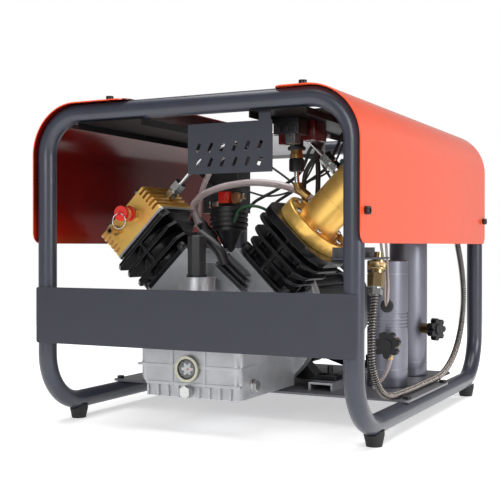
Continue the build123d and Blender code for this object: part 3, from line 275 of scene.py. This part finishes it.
# colour, roughness and the direction of the lathe's axis, then the rest
TURNED_METALS = {
    "piston_alloy": ((0.7, 0.71, 0.72), 0.25, LEFT_UP, {"vary": 0.05}),
    "gold_right": (GOLD, 0.38, RIGHT_UP, {"vary": 0.03, "edge": GOLD_EDGE}),
    "stack_grey": ((0.2, 0.205, 0.245), 0.36, Z, {"vary": 0.03, "edge": (0.5, 0.5, 0.56)}),
    "crank_steel": ((0.6, 0.6, 0.6), 0.22, Y, {"vary": 0.06}),
}


def make_materials():
    made = {}
    for name, (tint, rough, metal, more) in FINISHES.items():
        made[name] = finish(name, tint, rough, metal, **more)
    for name, (tint, rough, up, more) in TURNED_METALS.items():
        made[name] = turned(name, tint, rough, up, **more)
    # The inside of the left cover is painted shade: dark red, darker towards the top, in place of its own
    # orange paint.
    made["cover_inside"] = paint_with_painted_shade("cover_inside", (0.34, 0.012, 0.006), (0.13, 0.004, 0.003),
                                        0.262, 0.31)
    return made


# --------------------------------------------------------------------- helpers
SMOOTH_ANGLE = 0.6


def piece(name, data, material, body):
    made = bpy.data.objects.new(name, data)
    bpy.context.scene.collection.objects.link(made)
    data.materials.append(material)
    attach(made, body)
    return made


def nurbs(name, points, radius, resolution=6):
    """A round tube whose centreline is a smooth spline through a route."""
    curve = bpy.data.curves.new(name, "CURVE")
    curve.dimensions = "3D"
    spline = curve.splines.new("NURBS")
    spline.points.add(len(points) - 1)
    for control, place in zip(spline.points, points):
        control.co = (*place, 1.0)
    spline.order_u = 3
    spline.use_endpoint_u = True
    spline.resolution_u = 12
    curve.bevel_depth = radius
    curve.bevel_resolution = resolution
    curve.use_fill_caps = True
    return curve


def spline_line(points):
    """Points along the smooth spline of a route, evenly spaced by length."""
    curve = nurbs("route", points, 0.0)
    probe = bpy.data.objects.new("route", curve)
    mesh = bpy.data.meshes.new_from_object(probe)
    line = [v.co.copy() for v in mesh.vertices]
    bpy.data.objects.remove(probe)
    bpy.data.meshes.remove(mesh)
    return line


def along(line, step):
    """Points a step apart on a polyline, each with its direction."""
    found, left = [], 0.0
    for a, b in zip(line, line[1:]):
        span = (b - a).length
        way = (b - a).normalized()
        while left <= span:
            found.append((a + way * left, way))
            left += step
        left -= span
    return found


def mesh_of(name, bm):
    mesh = bpy.data.meshes.new(name)
    bmesh.ops.recalc_face_normals(bm, faces=bm.faces)
    bm.to_mesh(mesh)
    bm.free()
    for face in mesh.polygons:
        face.use_smooth = True
    mesh.set_sharp_from_angle(angle=SMOOTH_ANGLE)
    return mesh


def frame_at(place, way):
    turn = Vector(way).to_track_quat("Z", "Y").to_matrix().to_4x4()
    return Matrix.Translation(Vector(place)) @ turn


def lathe(name, profile, place, way, steps=48, ripple=None, capped=True):
    """A solid turned from (radius, height) points, all in millimetres.

    ripple(radius, height, angle) may move the radius, as for a knurl or a hexagon.
    A ring's profile ends where it starts and has no caps.
    """
    bm = bmesh.new()
    rows = []
    for radius, height in profile:
        row = []
        for i in range(steps):
            angle = 2 * math.pi * i / steps
            r = radius if ripple is None else ripple(radius, height, angle)
            row.append(bm.verts.new(mm(r * math.cos(angle), r * math.sin(angle), height)))
        rows.append(row)
    for low, high in zip(rows, rows[1:]):
        for i in range(steps):
            j = (i + 1) % steps
            bm.faces.new((low[i], low[j], high[j], high[i]))
    if capped:
        bm.faces.new(rows[0])
        bm.faces.new(rows[-1])
    bmesh.ops.remove_doubles(bm, verts=bm.verts, dist=1e-7)
    bm.transform(frame_at(place, way))
    return mesh_of(name, bm)


def hexed(across):
    """A ripple that cuts a round section down to a hexagon across its flats."""
    def ripple(radius, _height, angle):
        turn = (angle + math.pi / 6) % (math.pi / 3) - math.pi / 6
        return min(radius, across / 2 / math.cos(turn))
    return ripple


def fused(name, blocks, bevel=0.4):
    """Several blocks with softened edges, given by (low, high) corners in millimetres."""
    bm = bmesh.new()
    for low, high in blocks:
        start = len(bm.verts)
        bmesh.ops.create_cube(bm, size=1.0)
        bm.verts.ensure_lookup_table()
        size, middle = mm(*high) - mm(*low), (mm(*high) + mm(*low)) / 2
        for vert in bm.verts[start:]:
            vert.co = Vector(c * s for c, s in zip(vert.co, size)) + middle
    bmesh.ops.bevel(bm, geom=bm.edges[:], offset=bevel / 1000, segments=2, affect="EDGES", profile=0.6)
    return mesh_of(name, bm)


def soften(name, width):
    """Rounds a CAD node's sharp edges for the light, leaving its mesh alone."""
    weld = NODES[name].modifiers.new("weld", "WELD")
    weld.merge_threshold = 0.00001
    bevel = NODES[name].modifiers.new("soft_edges", "BEVEL")
    bevel.width = width / 1000
    bevel.segments = 2
    bevel.limit_method = "ANGLE"
    bevel.angle_limit = math.radians(40)
    bevel.harden_normals = True


# ------------------------------------------------------------- hose
HOSE_ROUTE = [
    (207.0, -170.0, 183.0),
    (207.0, -178.0, 151.0),
    (208.0, -185.5, 126.0),
    (209.0, -187.5, 100.0),
    (210.5, -178.5, 75.0),
    (212.5, -160.0, 56.5),
    (214.5, -134.5, 48.0),
    (216.5, -94.0, 47.0),
    (218.0, -42.0, 47.0),
    (217.5, 10.0, 47.5),
    (218.0, 62.0, 47.0),
    (216.5, 112.0, 49.0),
    (214.5, 166.0, 60.0),
    (213.5, 214.0, 84.0),
    (213.0, 246.0, 122.0),
    (213.5, 254.0, 166.0),
    (213.0, 240.0, 212.0),
    (211.5, 216.0, 254.0),
    (208.0, 198.0, 296.0),
]
COUPLER = mm(207.0, -170.0, 183.0)
COUPLER_UP = Vector((0, math.sin(math.radians(14)), math.cos(math.radians(14))))
HOSE_CORE = 0.0036
GUARD_WIRE = 0.00075
GUARD_STEPS = 12
STRIDE = 0.0005


def guard_pitch(share):
    """The spring lies tight low down, and is pulled open at the coupler and where it rises."""
    opened = max(0.0, (share - 0.62) / 0.38)
    near_coupler = max(0.0, 1 - share / 0.25)
    return 0.0027 + 0.0016 * opened + 0.0012 * near_coupler


def spring_guard(route):
    """The steel wire wound round the hose, as one long open curve."""
    line = along(spline_line(route), STRIDE)
    curve = bpy.data.curves.new("hose_spring", "CURVE")
    curve.dimensions = "3D"
    spline = curve.splines.new("POLY")
    side = X.copy()
    turn, coil = 0.0, []
    radius = HOSE_CORE + GUARD_WIRE * 0.9
    for i, (place, way) in enumerate(line):
        side = (side - way * side.dot(way)).normalized()
        up = way.cross(side)
        pitch = guard_pitch(i / len(line))
        substeps = max(1, round(STRIDE / pitch * GUARD_STEPS))
        for k in range(substeps):
            angle = turn + 2 * math.pi * STRIDE / pitch * k / substeps
            spot = place + way * (STRIDE * k / substeps)
            coil.append(spot + radius * (side * math.cos(angle) + up * math.sin(angle)))
        turn += 2 * math.pi * STRIDE / pitch
    spline.points.add(len(coil) - 1)
    for control, place in zip(spline.points, coil):
        control.co = (*place, 1.0)
    curve.bevel_depth = GUARD_WIRE
    curve.bevel_resolution = 1
    return curve


def knurl(teeth, depth, low, high):
    """A ripple of fine teeth between two heights."""
    def ripple(radius, height, angle):
        return radius - depth * (0.5 + 0.5 * math.cos(teeth * angle)) if low < height < high else radius
    return ripple


def make_grip(paint):
    """The coupler's sleeve with its fine gripping teeth."""
    sleeve = [(8.6, 33), (11.0, 33), (11.5, 33.5), (11.5, 34.4), (11.5, 34.6), (11.5, 41.2), (11.5, 41.4),
              (11.5, 42.3), (11.0, 42.8), (8.6, 42.8), (8.6, 33)]
    mesh = lathe("coupler_grip", sleeve, COUPLER, COUPLER_UP, steps=160, ripple=knurl(40, 0.5, 34.5, 41.3),
                 capped=False)
    grip = piece("coupler_grip", mesh, paint["brass"], "sleeve")
    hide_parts("coupler_sleeve")
    return grip


def make_hose(paint):
    route = [mm(*p) for p in HOSE_ROUTE]
    core = piece("hose_core", nurbs("hose_core", route, HOSE_CORE), paint["hose_rubber"], "root")
    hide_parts("hose")
    spring = piece("hose_spring", spring_guard(route), paint["spring_steel"], "root")
    grip = make_grip(paint)


# ------------------------------------------------------------------- CAD nodes
def dress_nodes(paint):
    """Gives every CAD node its material; the soft edges where light catches them are added later, by soften.
    """
    for row in frame["record"]["subparts"]:
        material = paint.get(row["material_slot"])
        if material:
            shown = NODES[row["node"]].data.materials
            shown.clear()
            shown.append(material)
    special = {"left_head": "gold_left", "right_flange": "gold_right", "right_barrel": "gold_right",
               "front_stack": "stack_grey", "rear_stack": "stack_grey", "crankshaft": "crank_steel",
               "sight_glass": "yellow_zinc", "base_plate": "base_grey", "top_trays": "tray_black"}
    for name, key in special.items():
        NODES[name].data.materials.clear()
        NODES[name].data.materials.append(paint[key])
    # The left cover's inner faces get the painted-shade paint.
    second_slot("left_cover", paint["cover_inside"], lambda face: face.normal.x > 0.5 or face.normal.z < -0.4)
    second_slot("quick_coupler", paint["zinc"], lambda face: (face.center - COUPLER).dot(COUPLER_UP) < 0.0101)


def second_slot(name, material, chosen):
    """Gives some of a CAD node's faces another material."""
    data = NODES[name].data
    data.materials.append(material)
    for face in data.polygons:
        if chosen(face):
            face.material_index = 1


# --------------------------------------------------------------------- details
PANEL = 275.5
GAUGE = (40.0, 352.0)
SIGHT = (-18.0, -259.4, 85.5)
WIRES = {
    "wire_left_low": (2.4, [(-17, -85, 300), (-10, -85, 309), (5, -83, 317), (23, -78, 326), (38, -76, 335),
                            (52, -75, 343), (62, -75, 352), (70, -75, 367), (76, -75, 388), (98, -75, 404)]),
    "wire_left_thin": (1.5, [(-44, -55, 330), (-23, -60, 325), (-8, -60, 320), (8, -60, 319), (30, -60, 322),
                             (52, -62, 330), (74, -64, 352), (96, -66, 404)]),
    "wire_low": (2.2, [(10, -70, 238), (17, -80, 300), (27, -85, 309), (47, -85, 320), (70, -84, 333),
                       (92, -84, 346), (110, -84, 358), (128, -80, 404)]),
    "wire_from_tray": (1.7, [(-66, -60, 404), (-30, -60, 386), (2, -60, 366), (30, -60, 347), (47, -60, 334),
                             (60, -58, 322), (70, -52, 290), (60, -40, 232)]),
    "wire_loop": (3.4, [(98, -90, 404), (94, -90, 382), (90, -90, 370), (80, -90, 358), (74, -90, 346),
                        (72, -88, 325), (66, -74, 280), (56, -50, 228)]),
    "wire_drop": (3.6, [(104, -85, 404), (94, -85, 386), (92, -85, 368), (93, -85, 349), (92, -84, 322),
                        (86, -78, 290), (70, -54, 222)]),
    "wire_cross": (1.5, [(58, -74, 326), (67, -80, 334), (80, -81, 339), (100, -80, 346), (116, -80, 357),
                         (134, -78, 404)]),
    "wire_far": (1.8, [(86, -70, 404), (92, -76, 366), (104, -80, 350), (113, -80, 336), (118, -70, 300),
                       (96, -40, 222)]),
}
HEAT_LEADS = [
    [(174, -28.4, 160), (172, -29, 172), (173.5, -29, 192), (171, -29, 218), (166, -29, 250), (160, -29, 300),
     (156, -29, 350), (150, -29, 406)],
    [(175, -28.4, 160), (177, -29, 172), (177.5, -29, 192), (176, -29, 218), (174, -29, 250), (170, -29, 300),
     (164, -29, 350), (158, -29, 406)],
]


def tube(name, route, radius, material):
    """A wire, hose or pipe through a few points, all in millimetres."""
    return piece(name, nurbs(name, [mm(*p) for p in route], radius / 1000, 4), material, "root")


def turned_piece(name, profile, place, way, material, slot, **more):
    return piece(name, lathe(name, profile, mm(*place), way, **more), material, "root")


def block_piece(name, blocks, material, bevel=0.5):
    return piece(name, fused(name, blocks, bevel), material, "root")


def star(points, depth):
    """A ripple that cuts a round section into a star."""
    def ripple(radius, _height, angle):
        return radius * (1 - depth * (0.5 - 0.5 * math.cos(points * angle)))
    return ripple


def make_sight_glass(paint):
    """The oil window: a reflector star and a red level dot under a domed lens."""
    turned_piece("sight_backing", [(13.3, 0), (13.3, 0.5), (10.4, 0.7), (9.8, 0.3), (0.5, 0.3), (0.5, 0)],
                 SIGHT, -Y, paint["dark_grey"], "black_plastic", steps=64)
    turned_piece("sight_reflector", [(8.6, 0.3), (8.6, 0.7), (4.4, 1.1), (3.8, 0.9), (0.6, 0.9)], SIGHT, -Y,
                 paint["pale_grey"], "zinc", steps=96, ripple=star(6, 0.42))
    turned_piece("sight_dot", [(1.5, 0.8), (1.5, 1.4), (0.9, 1.6), (0.3, 1.6)],
                 (SIGHT[0] + 1.5, *SIGHT[1:]), -Y, paint["red_plastic"], "red_plastic", steps=24)
    turned_piece("sight_lens", [(11.6, 1.9), (11.6, 2.3), (8.5, 3.0), (4.5, 3.4), (0.4, 3.5), (0.4, 1.9)],
                 SIGHT, -Y, paint["clear_glass"], "clear_tube")
    turned_piece("sight_seal", [(11.7, 0.3), (11.7, 2.6), (13.2, 2.6), (13.2, 0.3), (11.7, 0.3)], SIGHT, -Y,
                 paint["hose_rubber"], "foot_rubber", steps=64, capped=False)


def make_gauge_face(paint):
    """A dial with plain generic marks, and its glass."""
    x, z = GAUGE
    face = (x, PANEL + 2.6, z)
    turned_piece("gauge_dial", [(24.6, 0), (24.6, 0.5), (2.2, 0.5), (2.2, 0), (24.6, 0)], face, Y,
                 paint["dial_white"], "stack_grey", capped=False)
    marks = bmesh.new()
    for i in range(28):
        turn = math.radians(225 - 10 * i)
        long = 5.0 if i % 3 == 0 else 2.8
        across = 1.1 if i % 3 == 0 else 0.5
        before = len(marks.verts)
        bmesh.ops.create_cube(marks, size=1.0)
        marks.verts.ensure_lookup_table()
        spin = Matrix.Rotation(turn, 4, "Y")
        for vert in marks.verts[before:]:
            spot = Vector((vert.co.x * across, vert.co.y * 0.3, vert.co.z * long + 20.5 - long / 2))
            vert.co = (spin @ spot + Vector((x, PANEL + 3.2, z))) / 1000
    piece("gauge_marks", mesh_of("gauge_marks", marks), paint["wire_black"], "root")
    turned_piece("gauge_glass", [(24.8, 0), (24.8, 0.9), (20, 1.2), (0.5, 1.4)], (x, PANEL + 6.2, z), Y,
                 paint["clear_glass"], "clear_tube")


def make_fittings(paint):
    """The hanging outlet fitting, the filter's elbow and the small chrome union."""
    x, y = 97.5, -170.0
    turned_piece("outlet_flange", [(11.5, 373), (12.0, 374), (12.0, 377), (9, 379), (9, 409)], (x, y, 0), Z,
                 paint["black_plastic"], "black_plastic")
    turned_piece("outlet_body", [(7.6, 360), (8.6, 361), (8.6, 368), (7.8, 369), (7.8, 374)], (x, y, 0), Z,
                 paint["old_brass"], "brass")
    turned_piece("outlet_nut", [(8.5, 344.5), (10.2, 346), (10.2, 361), (8.5, 362.5)], (x, y, 0), Z,
                 paint["black_screw"], "black_screw", ripple=hexed(17.6))
    tube("outlet_tube", [(x, y, 346), (x, y, 338), (x + 0.6, y, 330), (x + 2, y, 324)], 3.4,
         paint["steel"])
    tube("outlet_elbow", [(x + 1.5, y, 329), (x + 3, y, 321), (x + 9, y, 317), (x + 16, y + 2, 311)], 6.2,
         paint["old_brass"])
    tube("filter_elbow", [(-107, -92, 284), (-98, -92, 283), (-90, -91, 275), (-79, -90, 260),
                          (-68, -88, 242), (-60, -84, 226)], 8.5, paint["black_plastic"])
    turned_piece("filter_collar", [(9.6, 0), (10.6, 1), (10.6, 13), (9.6, 14)], (-83, -90.5, 266),
                 (0.55, 0, -0.83), paint["hose_rubber"], "black_plastic")
    tube("breather_elbow", [(-30, -205, 262), (-24, -206, 258), (-12, -206, 250), (-1, -206, 241),
                            (5, -205, 231), (8, -204, 221)], 7.4, paint["black_plastic"])
    turned_piece("foot_union", [(3, 0), (6.5, 2), (7.6, 5), (6.5, 8), (4.6, 10), (4.6, 13)],
                 (2, -178, 224), Z, paint["steel"], "steel")


def make_controls(paint):
    """The relays, terminal block and grey panel under the trays."""
    block_piece("relay_red", [((110, -190, 384), (132, -150, 409)), ((113, -192, 388), (129, -189, 400))],
                paint["dark_red"])
    block_piece("terminal_block", [((92, -231, 388), (127, -200, 409)),
                                   ((95, -233, 391), (103, -230, 398)),
                                   ((106, -233, 391), (114, -230, 398)),
                                   ((117, -233, 391), (125, -230, 398))], paint["black_plastic"])
    block_piece("small_switch", [((99, -230, 375), (107.5, -214, 389)),
                                 ((101, -232, 378), (105.5, -229, 385))], paint["dark_red"])
    block_piece("wire_junction", [((108.5, -230, 376), (122, -212, 389)),
                                  ((111, -231.5, 378), (119, -229, 385))], paint["dark_grey"])
    block_piece("inner_plate", [((10, -61, 379), (93, -59, 408)), ((84, -60, 402), (93, -40, 408))],
                paint["pale_grey"])
    block_piece("contactor", [((-108, -12, 313), (-90, 1, 331)), ((-105, -14, 317), (-93, -11, 327))],
                paint["red_plastic"])
    block_piece("contactor_rail", [((-126, -9, 306), (-88, 1, 308)), ((-126, -9, 306), (-124, 1, 317)),
                                   ((-122, -6, 308), (-111, 1, 316))], paint["zinc"], 0.3)
    turned_piece("relay_coil", [(5.5, 0), (8.6, 0.6), (9.2, 3), (8.6, 8), (5.5, 9)], (-80, 1, 321), -Y,
                 paint["winding"], "winding")
    block_piece("earth_terminal", [((-70.5, -5, 319), (-66, 3, 329))], paint["yellow_zinc"], 0.4)


def make_wiring(paint):
    for name, (radius, route) in WIRES.items():
        tube(name, route, radius, paint["wire_black"])
    tube("earth_wire", [(-27, -112, 280), (-23, -113, 289), (-20, -113, 296), (-14, -113, 300.5),
                        (-4, -112, 302.5), (9, -110, 303), (24, -102, 296), (32, -92, 276)], 2.2,
         paint["wire_green"])
    tube("strap_wire", [(-160, -6, 405), (-146, -6, 362), (-133, -6, 352), (-119, -6, 342),
                        (-112, -6, 328)], 2.6, paint["wire_black"])
    turned_piece("heat_switch", [(8.6, 0), (9.4, 0.5), (9.4, 3.0), (6.5, 3.6), (6.0, 5.4), (1.0, 5.6)],
                 (174.6, -24.6, 160), -Y, paint["wire_black"], "black_plastic", steps=40)
    for i, route in enumerate(HEAT_LEADS):
        tube(f"heat_lead_{i + 1}", route, 1.9, paint["lead_braid"])


def make_pocket_ribs(paint):
    """Three black ribs side by side in the pocket on the crankcase's front."""
    way, rise = Vector((0.759, 0, -0.651)), Vector((0.651, 0, 0.759))
    start = mm(-8, -197, 221)
    bm = bmesh.new()
    for step, long in ((4.0, 52.0), (11.5, 48.0), (19.0, 44.0)):
        before = len(bm.verts)
        bmesh.ops.create_cube(bm, size=1.0)
        bm.verts.ensure_lookup_table()
        for vert in bm.verts[before:]:
            place = way * (vert.co.x + 0.5) * long + rise * (step + vert.co.z * 2.6) + Y * vert.co.y * 16
            vert.co = start + place / 1000
    bmesh.ops.bevel(bm, geom=bm.edges[:], offset=0.0004, segments=2, affect="EDGES")
    piece("pocket_ribs", mesh_of("pocket_ribs", bm), paint["black_casting"], "root")


# ----------------------------------------------------------------------- build
SOFT_EDGES = {"left_head": 0.5, "right_flange": 0.6, "crankcase": 0.9, "bell_housing": 0.8,
              "breather": 0.4, "left_cylinder": 0.4, "right_cylinder": 0.4, "front_knob": 0.7,
              "rear_knob": 0.7, "cover_bolts": 0.4, "head_bolts": 0.4, "cylinder_bolts": 0.4,
              "pipe_nuts": 0.4, "air_filter": 0.6, "safety_cap": 0.4}


make_camera()
make_studio()
PAINT = make_materials()
make_hose(PAINT)
dress_nodes(PAINT)
for make in (make_sight_glass, make_gauge_face, make_fittings, make_controls, make_wiring, make_pocket_ribs):
    make(PAINT)
for cad_node, width in SOFT_EDGES.items():
    soften(cad_node, width)
